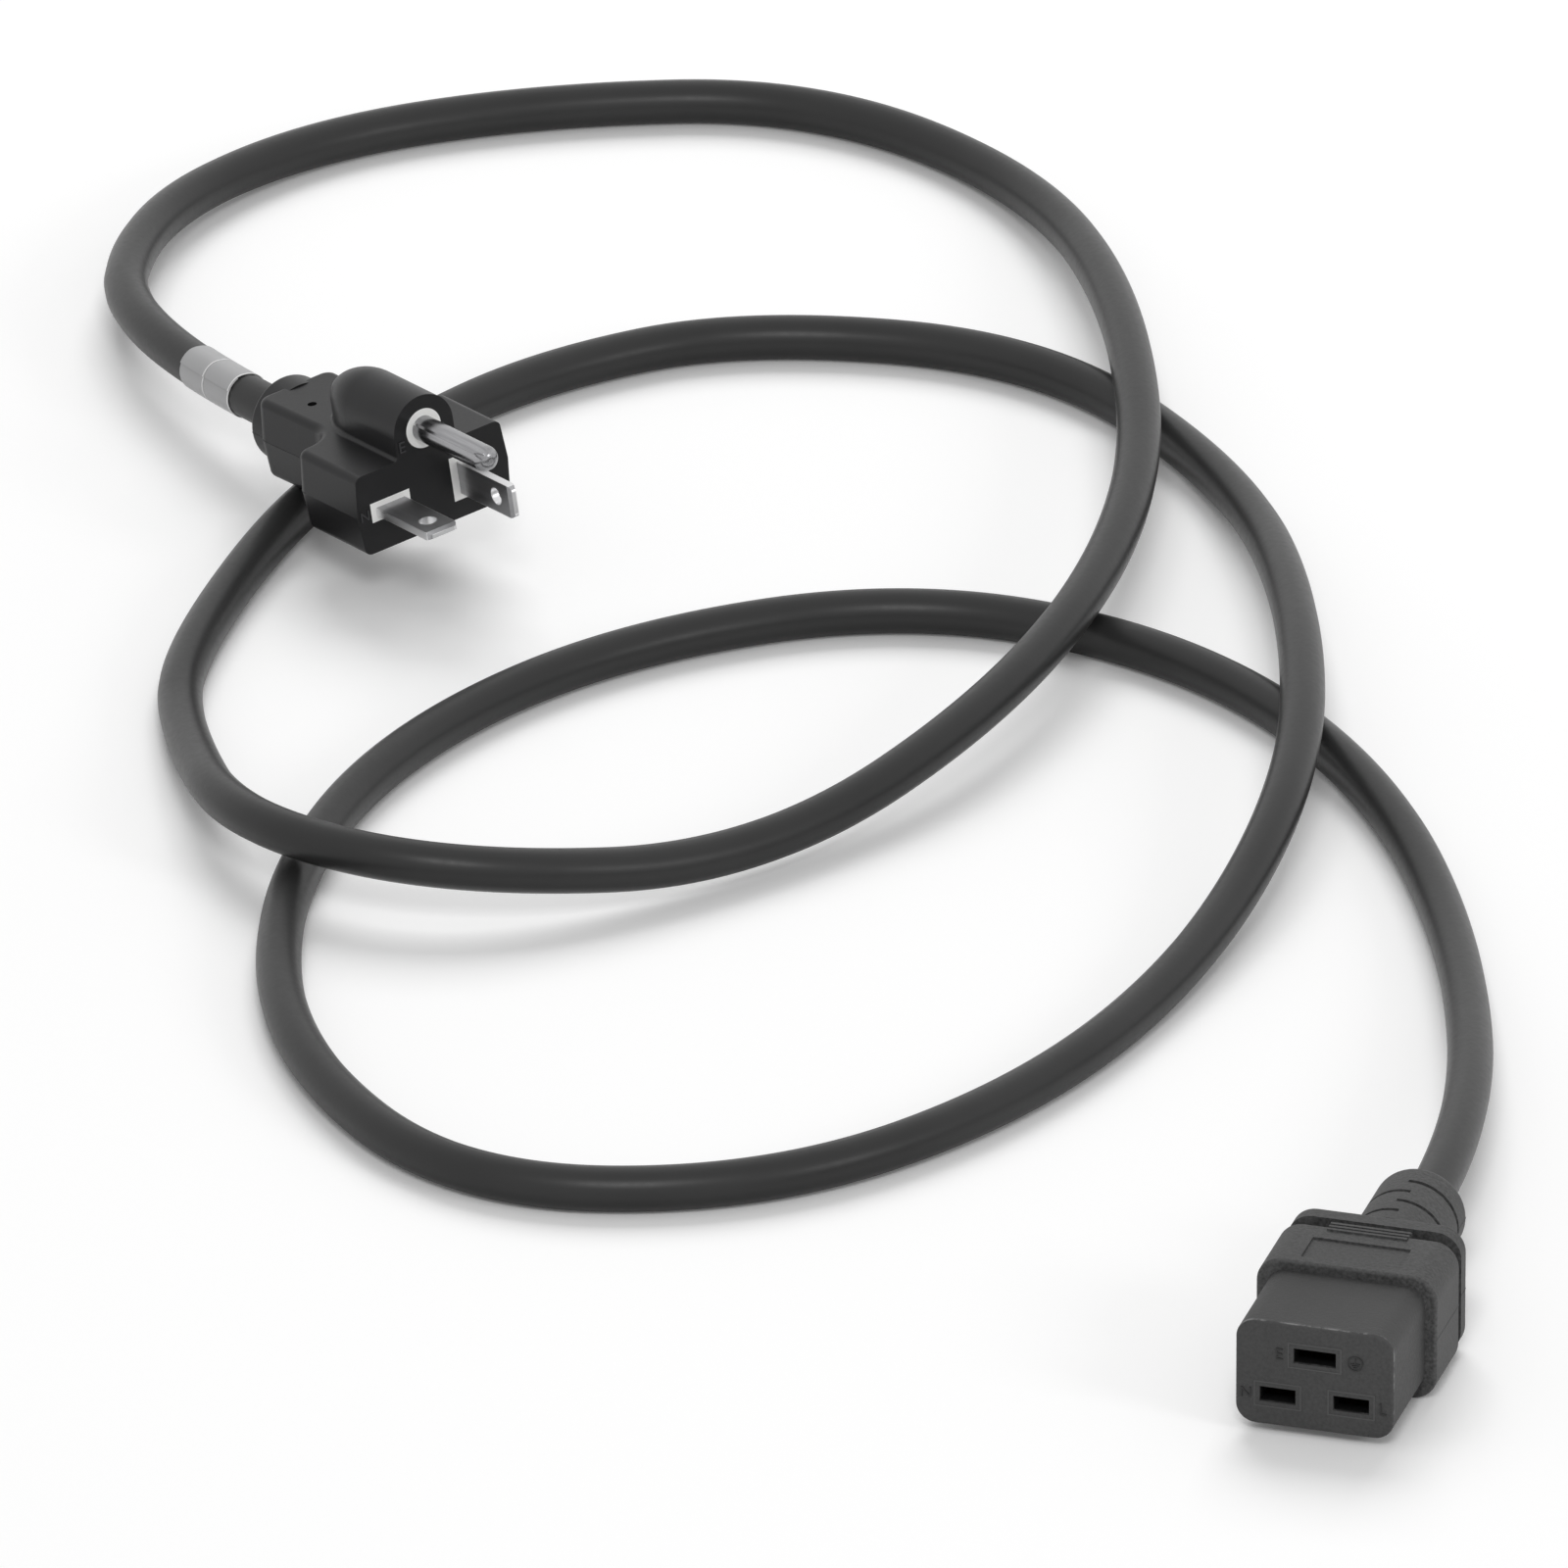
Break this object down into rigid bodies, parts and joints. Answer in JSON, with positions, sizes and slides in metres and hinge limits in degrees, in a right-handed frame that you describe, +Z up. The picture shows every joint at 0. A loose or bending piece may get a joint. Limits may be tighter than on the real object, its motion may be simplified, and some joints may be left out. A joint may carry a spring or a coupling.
{
  "type": "power cord",
  "caption": "Black moulded power cord lying in a loose spiral, with a straight-blade grounded plug on one end and a rectangular appliance connector on the other.",
  "frame": {"origin": "bottom centre of the appliance connector, which lies flat on the floor; the cord and the plug don't count", "axes": "+Y along the connector from its mating face to its strain relief, +Z up"},
  "size_m": [0.3501, 0.485, 0.0379],
  "materials": {
    "plug_pvc": "satin moulded PVC",
    "connector_pvc": "fine-grained moulded PVC",
    "connector_insert": "fine-grained moulded plastic",
    "cord_jacket": "satin extruded PVC",
    "white_plastic": "smooth moulded plastic",
    "label_film": "printed film",
    "nickel": "nickel-plated brass",
    "bronze": "bent sheet",
    "copper": "bare strand",
    "core_black": "extruded PVC",
    "core_white": "extruded PVC",
    "core_green": "extruded PVC"
  },
  "bodies": {
    "root": {"plug_body": "plug_pvc", "plug_bridge": "white_plastic", "plug_line_blade": "nickel", "plug_neutral_blade": "nickel", "plug_earth_pin": "nickel", "plug_cord_end": "cord_jacket", "connector_body": "connector_pvc", "connector_insert": "connector_insert", "connector_cord_end": "cord_jacket", "cord": "cord_jacket", "label_front": "label_film", "label_rear": "label_film", "plug_line_core": "core_black", "connector_line_core": "core_black", "plug_line_copper": "copper", "connector_line_copper": "copper", "connector_line_contact": "bronze", "plug_neutral_core": "core_white", "connector_neutral_core": "core_white", "plug_neutral_copper": "copper", "connector_neutral_copper": "copper", "connector_neutral_contact": "bronze", "plug_earth_core": "core_green", "connector_earth_core": "core_green", "plug_earth_copper": "copper", "connector_earth_copper": "copper", "connector_earth_contact": "bronze"}
  },
  "joints": []
}
